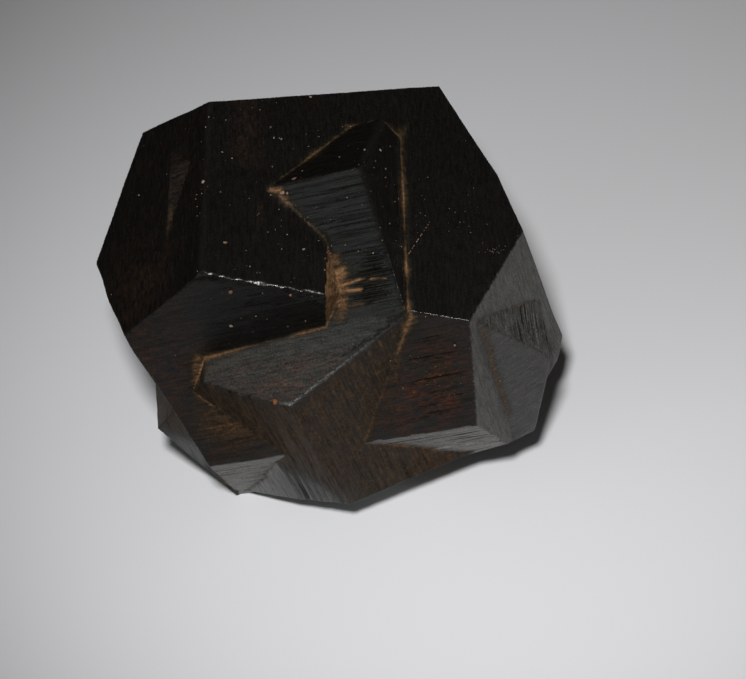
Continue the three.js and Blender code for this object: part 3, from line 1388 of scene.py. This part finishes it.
@dataclass(frozen=True)
class GoethiteSkin:
    """Pyrite weathered to goethite: its growth faces kept as a thin, waxy, nearly black skin.

    The skin is glossy and colourless in its reflections, so faces that look towards a pale surface turn
    grey and the others stay black. Part of that grey is a painted reflection: a grey sheen painted into the
    colour of those faces. Growth lines run along each face, and powdery yellow ochre stays in the grooves,
    where nothing rubs it off.

    The first patterns repeat along and across the growth lines, in mm, and the last three in all
    directions. The photograph shows nothing finer than a pixel, about 0.1 mm, so the real lines' spacing
    and the powder's grain aren't known. Both are drawn coarser than that, the lines 0.22 mm apart and the
    grains 0.18 mm wide, which was matched.
    """

    name: str = "goethite_after_pyrite_natural_skin"
    skin: str = "0b0a09"
    brown: str = "1e140e"
    red_brown: str = "3c2117"
    thin_ochre: str = "19170a"
    ochre: str = "644a33"
    thick_ochre: str = "96745a"
    frost: str = "4a4947"
    worn: str = "23211f"
    ior: float = 1.28
    powder_roughness: float = 0.9
    powder_specular: float = 0.1
    line_relief: float = 0.016
    grain_relief: float = 0.05
    lines: Pattern = Pattern((1 / 7.0, 1 / 0.22, 1.0), 3.0)
    streaks: Pattern = Pattern((1 / 9.0, 1 / 1.1, 1.0), 4.0)
    blotches: Pattern = Pattern((1 / 0.8, 1 / 0.35, 1.0), 5.0)
    bold: Pattern = Pattern((1 / 10.0, 1 / 0.5, 1.0), 2.0)
    fibres: Pattern = Pattern((1 / 1.4, 1 / 0.26, 1.0), 3.0)
    clouds: Pattern = Pattern((0.4 / MM,) * 3, 3.0)
    grains: Pattern = Pattern((1 / (0.18 * MM),) * 3, 2.0)
    mottle: Pattern = Pattern((2.2 / MM,) * 3, 4.0)

    def build(self) -> bpy.types.Material:
        """Builds the finish.

        Returns:
            The material.
        """
        material = bpy.data.materials.new(self.name)
        material.use_nodes = True
        tree = material.node_tree
        tree.nodes.clear()
        given = self.given(tree)
        self.add_coats(tree, given)
        colour = self.colour(tree, given)
        normal = self.normal(tree, given)
        smooth = [("lines", 0.12), ("streaks", 0.10), ("rusty", 0.15), ("frost", 0.12), ("film", 0.6)]
        matt = [("dull", 1.0), ("film", 1.2), ("rusty", 0.5), ("grooves", 0.6), ("ledges", 0.5)]
        speckled = summed(tree, [(given["grains"], 3.0)], -1.2)
        speckled = summed(tree, [(given["frost"], speckled)], clamped=False)
        powdery = summed(tree, [*self.pairs(given, matt), (speckled, 0.22)])
        shaders = []
        for links in (
            {"Roughness": summed(tree, self.pairs(given, smooth), 0.14), "IOR": self.ior},
            {"Roughness": self.powder_roughness, "Specular IOR Level": self.powder_specular},
        ):
            links = {"Base Color": colour, "Normal": normal, **links}
            shaders.append(add_node(tree, "ShaderNodeBsdfPrincipled", links).outputs[0])
        surface = add_node(tree, "ShaderNodeMixShader", {0: powdery, 1: shaders[0], 2: shaders[1]})
        add_node(tree, "ShaderNodeOutputMaterial", {"Surface": surface.outputs[0]})
        return material

    def pairs(self, given: dict, weights: Sequence) -> list:
        """The sockets that the weights name, each with its weight."""
        return [(given[name], weight) for name, weight in weights]

    def given(self, tree: bpy.types.NodeTree) -> dict:
        """Adds the attributes that the mesh carries, and the patterns.

        Args:
            tree: The node tree.

        Returns:
            Their sockets by name.
        """
        sockets = {}
        for name in ("ochre", "rust", "wear", "frost", "dull", "lined"):
            node = add_node(tree, "ShaderNodeAttribute", attribute_name=name)
            sockets[name] = node.outputs["Fac"]
        growth = add_node(tree, "ShaderNodeAttribute", attribute_name="growth").outputs["Vector"]
        for name in ("lines", "streaks", "blotches", "bold", "fibres"):
            sockets[name] = getattr(self, name).build(tree, growth)
        place = add_node(tree, "ShaderNodeTexCoord").outputs["Object"]
        for name in ("clouds", "grains", "mottle"):
            sockets[name] = getattr(self, name).build(tree, place)
        return sockets

    def add_coats(self, tree: bpy.types.NodeTree, given: dict) -> None:
        """Adds how much rust, ochre and groove there is at each place.

        Args:
            tree: The node tree.
            given: The sockets by name, to which those of the coats are added.
        """
        patches = summed(
            tree, self.pairs(given, [("clouds", 1.6), ("blotches", 3.4), ("lines", 0.8)]), -2.4
        )
        given["rusty"] = summed(tree, [(patches, given["rust"])], clamped=False)
        film = summed(
            tree, self.pairs(given, [("ochre", 1.0), ("mottle", 0.4), ("lines", 0.25)]), -0.325
        )
        present = summed(tree, [(given["ochre"], 8.0)])
        given["film"] = summed(tree, [(film, present)], clamped=False)
        for name, source, steepness, offset in (
            ("grooves", "lines", -4.0, 2.0),
            ("ledges", "bold", -9.0, 4.0),
        ):
            sunk = summed(tree, [(given[source], steepness)], offset)
            given[name] = summed(tree, [(given["lined"], sunk)], clamped=False)
        given["uneven"] = summed(tree, self.pairs(given, [("grains", 0.5), ("fibres", 0.5)]))

    def colour(self, tree: bpy.types.NodeTree, given: dict) -> bpy.types.NodeSocket:
        """Adds the colour: black skin, then rust, painted sheen (a grey reflection of the pale floor),
        ochre and worn edges over it.

        Args:
            tree: The node tree.
            given: The sockets by name.

        Returns:
            The colour's socket.
        """
        rust_stops = [(0.0, self.skin), (0.3, self.brown), (0.85, self.red_brown)]
        ochre_stops = [(0.1, self.thin_ochre), (0.5, self.ochre), (0.95, self.thick_ochre)]
        browned = toned(tree, given["rusty"], rust_stops)
        ochre_tone = toned(tree, given["film"], ochre_stops)
        # The painted sheen: a grey reflection of the pale floor, painted into the colour with the sheen
        # colour.
        strong = {0: given["frost"], 1: 1.0}
        level = add_node(tree, "ShaderNodeMath", strong, operation="MAXIMUM").outputs[0]
        sheen_colour = self.scaled(tree, linear(self.frost)[:3], level)
        # The painted sheen follows the lines and grains; the grooves and ledges take part of it away, a
        # painted shade on their sides.
        weights = [("lines", 0.9), ("grains", 0.9), ("grooves", -0.4), ("ledges", -0.8)]
        settled = summed(tree, self.pairs(given, weights), -0.1)
        sheen_share = summed(tree, [(given["frost"], settled)], clamped=False)
        worn = summed(tree, self.pairs(given, [("wear", 0.6), ("mottle", 0.6)]), -0.65)
        layers = [
            (sheen_share, sheen_colour),
            (summed(tree, [(given["film"], 2.4)]), ochre_tone),
            (worn, linear(self.worn)),
        ]
        spread = {0: given["uneven"], 1: 0.38, 2: 0.62, 3: 0.4, 4: 1.6}
        speckle = add_node(tree, "ShaderNodeMapRange", spread).outputs[0]
        return self.scaled(tree, layered(tree, browned, layers), speckle)

    def scaled(
        self, tree: bpy.types.NodeTree, colour: bpy.types.NodeSocket | tuple, level: bpy.types.NodeSocket
    ) -> bpy.types.NodeSocket:
        """The colour made lighter or darker by the level."""
        links = {0: colour, "Scale": level}
        return add_node(tree, "ShaderNodeVectorMath", links, operation="SCALE").outputs[0]

    def normal(self, tree: bpy.types.NodeTree, given: dict) -> bpy.types.NodeSocket:
        """Adds the relief of the fine lines and of the grains over them.

        Args:
            tree: The node tree.
            given: The sockets by name.

        Returns:
            The normal's socket.
        """
        rough = summed(tree, self.pairs(given, [("rusty", 0.3), ("frost", 0.6)]), 0.2)
        links = {}
        for height, weight, relief in (
            (given["lines"], given["lined"], self.line_relief),
            (given["uneven"], rough, self.grain_relief),
        ):
            # The noises fill about half of their range, so the bump is set to twice the relief.
            links["Distance"] = relief * MM * 2
            links["Height"] = summed(tree, [(height, weight)], clamped=False)
            links["Normal"] = add_node(tree, "ShaderNodeBump", links | {"Strength": 1.0}).outputs[0]
        return links["Normal"]


@dataclass(frozen=True)
class StudioFloor:
    """A board painted matt white: the flat paint scatters light evenly and hardly shines."""

    name: str = "matt_white_paint"
    colour: str = "e9ebf0"
    side: float = 2.4
    roughness: float = 0.9
    specular: float = 0.2

    def build(self) -> bpy.types.Object:
        """Builds the floor.

        Returns:
            The floor, in metres.
        """
        half = self.side / 2
        corners = np.array([(-half, -half, 0), (half, -half, 0), (half, half, 0), (-half, half, 0)])
        floor = bpy.data.objects.new("floor", mesh_of("floor", corners, np.array([[0, 1, 2, 3]])))
        material = bpy.data.materials.new(self.name)
        material.use_nodes = True
        shader = material.node_tree.nodes["Principled BSDF"]
        shader.inputs["Base Color"].default_value = linear(self.colour)
        shader.inputs["Roughness"].default_value = self.roughness
        shader.inputs["Specular IOR Level"].default_value = self.specular
        floor.data.materials.append(material)
        bpy.context.scene.collection.objects.link(floor)
        return floor


@dataclass
class ClusterPiece:
    """The cluster's fine mesh and its finish, in place of the faceted solid; lengths in mm."""

    pitch: float = 0.2
    most_triangles: int = 194_000
    crystal_reach: float = 24.5
    finish: GoethiteSkin = GoethiteSkin()

    # A corner whose normal is further from its polygon's than this cosine lies over an edge.
    SAME_FACE = 0.99
    STEP_INSIDE = 0.4
    # The growth patterns of two faces are this far apart, so that they don't match.
    PATTERN_GAP = 5.7

    def build(self) -> bpy.types.Object:
        """Builds the piece and the grains on it.

        Returns:
            The piece, riding on the body.
        """
        cluster = TwinCluster()
        low, high = self.crystal_box(cluster)
        net = SurfaceNet(cluster.depth, low, high, self.pitch)
        points, quads = net.build()
        log.info("net: %d vertices, %d quads", len(points), len(quads))
        piece = bpy.data.objects.new("twinned_crystals", mesh_of("net", points, quads))
        bpy.context.scene.collection.objects.link(piece)
        piece.data = self.thinned(piece)
        points = values_of(piece.data.vertices, "co", 3).astype(float)
        self.write_growth(piece.data, cluster, points)
        self.write_coats(piece.data, cluster, points)
        self.write_normals(piece.data, cluster, net, points)
        piece.data.vertices.foreach_set("co", cluster.row_place(points).astype(np.float32).ravel())
        piece.data.materials.append(self.finish.build())
        piece.data.update()
        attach(piece, BODY)
        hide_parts(NODE)
        ClayGrains().build(cluster, net)
        return piece

    def crystal_box(self, cluster: TwinCluster) -> tuple:
        """Finds the part of space that holds the cluster.

        Args:
            cluster: The cluster.

        Returns:
            The lowest and the highest corner, in mm along the crystal axes.
        """
        low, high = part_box(NODE)
        corners = np.array(list(product((low.x, high.x), (low.y, high.y), (low.z, high.z))))
        turned = (corners / MM - cluster.centre) @ cluster.to_row
        reach = self.crystal_reach
        return np.maximum(turned.min(0), -reach), np.minimum(turned.max(0), reach)

    def thinned(self, piece: bpy.types.Object) -> bpy.types.Mesh:
        """Joins triangles where the surface is flat, to stay under the limit.

        Args:
            piece: The piece with its whole mesh.

        Returns:
            The thinned mesh.
        """
        triangles = sum(len(polygon.vertices) - 2 for polygon in piece.data.polygons)
        modifier = piece.modifiers.new("thin", "DECIMATE")
        modifier.ratio = min(1.0, self.most_triangles / triangles)
        graph = bpy.context.evaluated_depsgraph_get()
        mesh = bpy.data.meshes.new_from_object(piece.evaluated_get(graph))
        piece.modifiers.clear()
        log.info("thinned: %d polygons", len(mesh.polygons))
        return mesh

    def write_growth(self, mesh: bpy.types.Mesh, cluster: TwinCluster, points: np.ndarray) -> None:
        """Writes each corner's place along and across its face's growth lines.

        Args:
            mesh: The mesh, still in mm along the crystal axes.
            cluster: The cluster.
            points: The mesh's vertices.
        """
        corners = values_of(mesh.loops, "vertex_index")
        sizes = values_of(mesh.polygons, "loop_total")
        centres = values_of(mesh.polygons, "center", 3).astype(float)
        faces, of_polygon = cluster.nearest_face(centres)
        of_corner = np.repeat(of_polygon, sizes)
        directions = np.array([face.directions for face in faces])[of_corner]
        place = points[corners]
        along, across = [(place * directions[:, number]).sum(1) for number in range(2)]
        write_attribute(mesh, "growth", np.stack([along, across, of_corner * self.PATTERN_GAP], 1))

    def write_coats(self, mesh: bpy.types.Mesh, cluster: TwinCluster, points: np.ndarray) -> None:
        """Writes how much of each coat, and of the painted sheen, lies at each vertex.

        Args:
            mesh: The mesh.
            cluster: The cluster.
            points: The mesh's vertices, in mm along the crystal axes.
        """
        faces, of_point = cluster.nearest_face(points)
        table = np.array([(*astuple(face.coat), face.lined) for face in faces])
        rust, film, frost, dull, lined = table[of_point].T
        none = np.zeros(len(points))
        kept = np.clip(1.0 - cluster.pocketed(cluster.rubbed, points, none), 0.0, 1.0)
        sharp = np.clip(1.0 - cluster.pocketed(cluster.dulls, points, none), 0.0, 1.0)
        coats = {
            "ochre": np.maximum(cluster.ochre(points), film) * kept,
            "rust": cluster.pocketed(cluster.rusts, points, rust) * kept,
            "frost": cluster.pocketed(cluster.painted_sheens, points, frost * kept),
            "wear": cluster.wear(points) * sharp,
            "dull": cluster.pocketed(cluster.dulls, points, dull) * kept,
            "lined": cluster.pocketed(cluster.lines, points, lined),
        }
        for name, values in coats.items():
            write_attribute(mesh, name, values)

    def write_normals(
        self, mesh: bpy.types.Mesh, cluster: TwinCluster, net: SurfaceNet, points: np.ndarray
    ) -> None:
        """Writes the corners' normals, taken from the surface itself.

        Args:
            mesh: The mesh, still in mm along the crystal axes.
            cluster: The cluster.
            net: The net that knows the surface's slope.
            points: The mesh's vertices.
        """
        corners = values_of(mesh.loops, "vertex_index")
        sizes = values_of(mesh.polygons, "loop_total")
        mesh.polygons.foreach_set("use_smooth", np.ones(len(mesh.polygons), bool))
        normals = net.facing(points)[corners]
        flat = np.repeat(values_of(mesh.polygons, "normal", 3), sizes, axis=0)
        bent = (normals * flat).sum(axis=1) < self.SAME_FACE
        middles = np.repeat(values_of(mesh.polygons, "center", 3), sizes, axis=0)
        place = points[corners]
        normals[bent] = net.facing((place + self.STEP_INSIDE * (middles - place))[bent])
        mesh.normals_split_custom_set((normals @ cluster.to_row.T).tolist())


@dataclass(frozen=True)
class DriedClay:
    """Clay and limonite powder dried into loose grains: matt, chalky, each a little different."""

    name: str = "dried_clay_and_limonite_powder"
    dark: str = "4f443a"
    pale: str = "857b6c"
    limonite: str = "6e452c"
    roughness: float = 0.95
    specular: float = 0.1

    def build(self) -> bpy.types.Material:
        """Builds the finish.

        Returns:
            The material.
        """
        material = bpy.data.materials.new(self.name)
        material.use_nodes = True
        tree = material.node_tree
        shader = tree.nodes["Principled BSDF"]
        place = add_node(tree, "ShaderNodeTexCoord").outputs["Object"]
        tone = add_node(tree, "ShaderNodeAttribute", attribute_name="tone").outputs["Fac"]
        links = {"Vector": place, "Scale": 0.6 / MM, "Detail": 1.0}
        spread = add_node(tree, "ShaderNodeTexNoise", links).outputs[0]
        clay = toned(tree, spread, [(0.35, self.dark), (0.65, self.pale)])
        colour = layered(tree, clay, [(tone, linear(self.limonite))])
        tree.links.new(colour, shader.inputs["Base Color"])
        shader.inputs["Roughness"].default_value = self.roughness
        shader.inputs["Specular IOR Level"].default_value = self.specular
        return material


@dataclass
class ClayGrains:
    """Tiny grains of dried clay stuck on the crystals; lengths in mm along the crystal axes.

    A mark is a place, a radius and how ochre the grain is. A row is its two ends and a
    count, and a patch is its centre, spread and count.
    """

    marks: tuple = (
        (-1.9, 8.5, 16.6, 0.13, 0.0),
        (-1.6, 7.1, 16.5, 0.10, 0.0),
        (-0.9, 7.0, 16.2, 0.10, 0.0),
        (-1.1, 7.1, 16.3, 0.07, 0.2),
        (-2.9, 10.7, 17.1, 0.06, 0.0),
        (1.9, 13.0, 15.0, 0.12, 0.3),
        (-6.4, 4.7, 18.6, 0.08, 0.0),
        (-5.5, 4.0, 18.2, 0.08, 0.0),
        (-1.8, 3.3, 16.5, 0.07, 0.0),
        (0.5, 1.1, 16.5, 0.19, 0.2),
        (-6.1, -6.9, 18.4, 0.19, 0.4),
        (-8.2, 0.8, 19.1, 0.16, 0.1),
        (-16.6, 4.6, 14.7, 0.11, 0.0),
        (1.0, -7.0, 15.2, 0.11, 0.4),
        (-7.7, 9.2, 19.2, 0.06, 0.0),
        (-6.0, -11.9, 16.8, 0.17, 0.4),
        (-7.1, -13.2, 13.2, 0.17, 0.2),
        (-4.4, -13.0, 13.7, 0.09, 0.2),
        (0.2, -13.4, 12.1, 0.09, 0.5),
        (-0.4, -12.4, 15.2, 0.12, 0.6),
        (2.9, -9.4, 14.4, 0.11, 0.5),
        (7.6, 4.0, 15.5, 0.12, 0.0),
        (8.9, 4.7, 14.2, 0.15, 0.0),
        (9.2, 2.7, 13.5, 0.12, 0.0),
        (5.0, 3.6, 15.6, 0.08, 0.0),
        (1.2, 2.4, 16.0, 0.10, 0.3),
        (-0.8, -0.2, 16.3, 0.24, 0.5),
        (-0.3, -0.3, 16.2, 0.16, 0.3),
        (-4.1, -19.6, 8.2, 0.32, 1.0),
        (13.8, -15.3, 6.3, 0.12, 0.3),
        (16.3, -13.8, -2.9, 0.14, 0.9),
    )
    rows: tuple = (((10.6, -6.6, 10.9), (12.7, -2.4, 10.1), 26),)
    patches: tuple = (
        ((10.2, -16.8, 2.6), 1.9, 34),
        ((18.9, -5.4, 7.4), 1.0, 26),
        ((12.5, -2.0, 10.0), 3.2, 40),
    )
    scattered: int = 230
    sizes: tuple = (0.025, 0.075)
    row_sizes: tuple = (0.03, 0.07)
    patch_sizes: tuple = (0.02, 0.05)
    seed: int = 17
    finish: DriedClay = DriedClay()

    # A grain is stretched each way, dented, flattened on the face and partly sunk into it.
    STRETCHES = (0.7, 1.3)
    DENTS, DENT_SIZE, DENT_SHIFT = 0.35, 0.9, 60
    FLATTENED = 0.4
    RAISED = 0.25
    # Grains fall from this far out, by part of their height over the surface in each round.
    FALL_START = 28.0
    FALL_ROUNDS = 40
    FALL_SHARE = 0.8

    def build(self, cluster: TwinCluster, net: SurfaceNet) -> bpy.types.Object:
        """Builds the grains as one loose piece.

        Args:
            cluster: The cluster that they lie on.
            net: The net that knows its surface.

        Returns:
            The piece, riding on the body.
        """
        places, radii, tones = self.spots(net)
        facing = net.facing(places)
        draw = np.random.default_rng(self.seed + 1)
        shape, polygons = self.lump()
        points = []
        for place, radius, normal in zip(places, radii, facing):
            stretch = radius * draw.uniform(*self.STRETCHES, 3)
            turned = shape @ np.linalg.qr(draw.normal(size=(3, 3)))[0].T * stretch
            spot = turned / (radius * self.DENT_SIZE) + draw.uniform(0, self.DENT_SHIFT, 3)
            turned = turned * (1.0 + self.DENTS * NOISE.at(spot))[:, None]
            turned = turned - self.FLATTENED * np.outer(turned @ normal, normal)
            points.append(place + turned + self.RAISED * radius * normal)
        rings = [polygons + number * len(shape) for number in range(len(points))]
        mesh = mesh_of("grains", cluster.row_place(np.concatenate(points)), np.concatenate(rings))
        write_attribute(mesh, "tone", np.repeat(tones, len(shape)))
        piece = bpy.data.objects.new("clay_grains", mesh)
        bpy.context.scene.collection.objects.link(piece)
        mesh.materials.append(self.finish.build())
        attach(piece, BODY)
        return piece

    def spots(self, net: SurfaceNet) -> tuple:
        """Finds where the grains lie: the marked ones, the rows, the patches and the scattered.

        Args:
            net: The net that knows the surface.

        Returns:
            The n by 3 places on the surface, n radii and how ochre each grain is.
        """
        draw = np.random.default_rng(self.seed)
        marks = np.array(self.marks)
        places, radii, tones = [marks[:, :3]], [marks[:, 3]], [marks[:, 4]]
        for start, end, count in self.rows:
            share = draw.uniform(0.0, 1.0, (count, 1))
            places.append(np.array(start) + share * (np.array(end) - np.array(start)))
            radii.append(draw.uniform(*self.row_sizes, count))
            tones.append(np.full(count, 0.4))
        for centre, spread, count in self.patches:
            places.append(np.array(centre) + draw.normal(0.0, spread, (count, 3)) * (1.0, 0.5, 1.0))
            radii.append(draw.uniform(*self.patch_sizes, count))
            tones.append(draw.choice([0.0, 0.3], count))
        heading = draw.normal(size=(self.scattered * 3, 3)) + np.array((0.0, -0.2, 1.2))
        heading = heading / np.linalg.norm(heading, axis=1)[:, None]
        upper = (heading[:, 2] > 0.1) & (NOISE.at(heading * 4.0) > -0.1)
        kept = heading[upper][: self.scattered]
        places.append(self.landed(net, kept))
        radii.append(self.sizes[0] + (self.sizes[1] - self.sizes[0]) * draw.random(len(kept)) ** 2)
        tones.append(draw.choice([0.0, 0.2, 0.5], len(kept)))
        return net.settled(np.concatenate(places), 8), np.concatenate(radii), np.concatenate(tones)

    def landed(self, net: SurfaceNet, headings: np.ndarray) -> np.ndarray:
        """Finds where lines from outside towards the centre first meet the surface.

        Args:
            net: The net that knows the surface.
            headings: n by 3 unit vectors from the centre.

        Returns:
            The n by 3 places.
        """
        distance = np.full(len(headings), self.FALL_START)
        for _ in range(self.FALL_ROUNDS):
            distance -= self.FALL_SHARE * net.depth(headings * distance[:, None])
        return headings * distance[:, None]

    def lump(self) -> tuple:
        """Makes a ball of triangles.

        Returns:
            Its unit vertices and its rows of vertex numbers.
        """
        shape = bmesh.new()
        bmesh.ops.create_icosphere(shape, subdivisions=2, radius=1.0)
        points = np.array([vertex.co[:] for vertex in shape.verts])
        polygons = np.array([[vertex.index for vertex in face.verts] for face in shape.faces])
        shape.free()
        return points, polygons


def compass(azimuth: float, elevation: float) -> Vector:
    """The unit vector at an azimuth from the back, clockwise from above, and an elevation."""
    turn, rise = math.radians(azimuth), math.radians(elevation)
    return Vector((math.cos(rise) * math.sin(turn), math.cos(rise) * math.cos(turn), math.sin(rise)))


class LightKind(Enum):
    """Whether a light is a small lamp that fades towards the sides, or a round soft one."""

    LAMP = "SPOT"
    SOFT = "AREA"


@dataclass(frozen=True)
class Light:
    """A light: where it stands and what it faces, in metres, its power in watts and its tint."""

    name: str
    kind: LightKind
    place: Vector
    target: Vector
    watts: float
    tint: str
    settings: dict

    def build(self) -> bpy.types.Object:
        """Builds the light.

        Returns:
            The light.
        """
        data = bpy.data.lights.new(self.name, self.kind.value)
        for key, value in self.settings.items():
            setattr(data, key, value)
        data.energy = self.watts
        data.color = linear(self.tint)[:3]
        light = bpy.data.objects.new(self.name, data)
        light.location = self.place
        light.rotation_mode = "QUATERNION"
        light.rotation_quaternion = (self.target - self.place).to_track_quat("-Z", "Y")
        bpy.context.scene.collection.objects.link(light)
        return light


@dataclass
class Studio:
    """A pale floor, a lamp, two soft lights and the camera; lengths in mm."""

    eye: tuple = (13.94, -235.80, 186.83)
    right: tuple = (0.9983, 0.0, -0.0582)
    down: tuple = (-0.0469, -0.5925, -0.8042)
    ahead: tuple = (-0.0345, 0.8056, -0.5915)
    focal_pixels: float = 2753.0
    image_width: int = 746
    sensor: float = 36.0
    lamp_aim: tuple = (19.3, 27.1, 0.0)
    lamp_offset: float = 40.0
    lamp_radius: float = 12.0
    lamp_cone: float = 38.1
    soft_distance: float = 1200.0
    surroundings: str = "201e1b"

    def camera(self) -> bpy.types.Object:
        """Builds the camera, at the photograph's place and angle.

        Returns:
            The camera.
        """
        data = bpy.data.cameras.new("camera")
        data.sensor_width = self.sensor
        data.lens = self.focal_pixels / self.image_width * self.sensor
        data.clip_start = 0.01
        data.clip_end = 10.0
        camera = bpy.data.objects.new("camera", data)
        axes = Matrix((Vector(self.right), -Vector(self.down), -Vector(self.ahead))).transposed()
        camera.matrix_world = Matrix.Translation(Vector(self.eye) * MM) @ axes.to_4x4()
        bpy.context.scene.collection.objects.link(camera)
        bpy.context.scene.camera = camera
        return camera

    def near_lamp(self) -> Light:
        """The lamp, a little above and to the left of the camera.

        Returns:
            The lamp.
        """
        aside = (-0.3 * Vector(self.right) - 0.7 * Vector(self.down)).normalized()
        place = Vector(self.eye) * MM + aside * (self.lamp_offset * MM)
        settings = {
            "shadow_soft_size": self.lamp_radius * MM,
            "spot_size": math.radians(self.lamp_cone),
            "spot_blend": 1.0,
        }
        target = Vector(self.lamp_aim) * MM
        return Light(
            "near_lamp", LightKind.LAMP, place, target, watts=3.86, tint="fdfbf8", settings=settings
        )

    def soft_light(self, name: str, heading: tuple, size: float, watts: float, tint: str) -> Light:
        """A round soft light that faces the cluster.

        Args:
            name: The light's name.
            heading: Its azimuth and elevation as the cluster sees it, in degrees.
            size: Its width, in metres.
            watts: Its power.
            tint: Its colour, as a hex value.

        Returns:
            The light.
        """
        target = Vector((0.0, 0.0, 20.0)) * MM
        place = target + compass(*heading) * (self.soft_distance * MM)
        settings = {"shape": "DISK", "size": size}
        return Light(name, LightKind.SOFT, place, target, watts, tint, settings)

    def build(self) -> None:
        """Builds the floor, the camera, the lights and the dark surroundings."""
        StudioFloor().build()
        self.camera()
        self.near_lamp().build()
        left = self.soft_light("left_soft_light", (225, 11), size=0.6, watts=1.8, tint="e6f2ee")
        right = self.soft_light("right_soft_light", (74, 6), size=0.3, watts=0.8, tint="ffffff")
        left.build()
        right.build()
        world = bpy.data.worlds.new("surroundings")
        world.use_nodes = True
        backdrop = world.node_tree.nodes["Background"]
        backdrop.inputs["Color"].default_value = linear(self.surroundings)
        backdrop.inputs["Strength"].default_value = 1.0
        bpy.context.scene.world = world
        bpy.context.scene.view_settings.view_transform = "Standard"


def main() -> None:
    """Builds the studio and the cluster, in order."""
    logging.basicConfig(level=logging.INFO, format="%(name)s: %(message)s")
    Studio().build()
    log.info("studio built")
    piece = ClusterPiece(pitch=0.2).build()
    log.info("%s built with %d polygons", piece.name, len(piece.data.polygons))


if __name__ == "__main__":
    main()
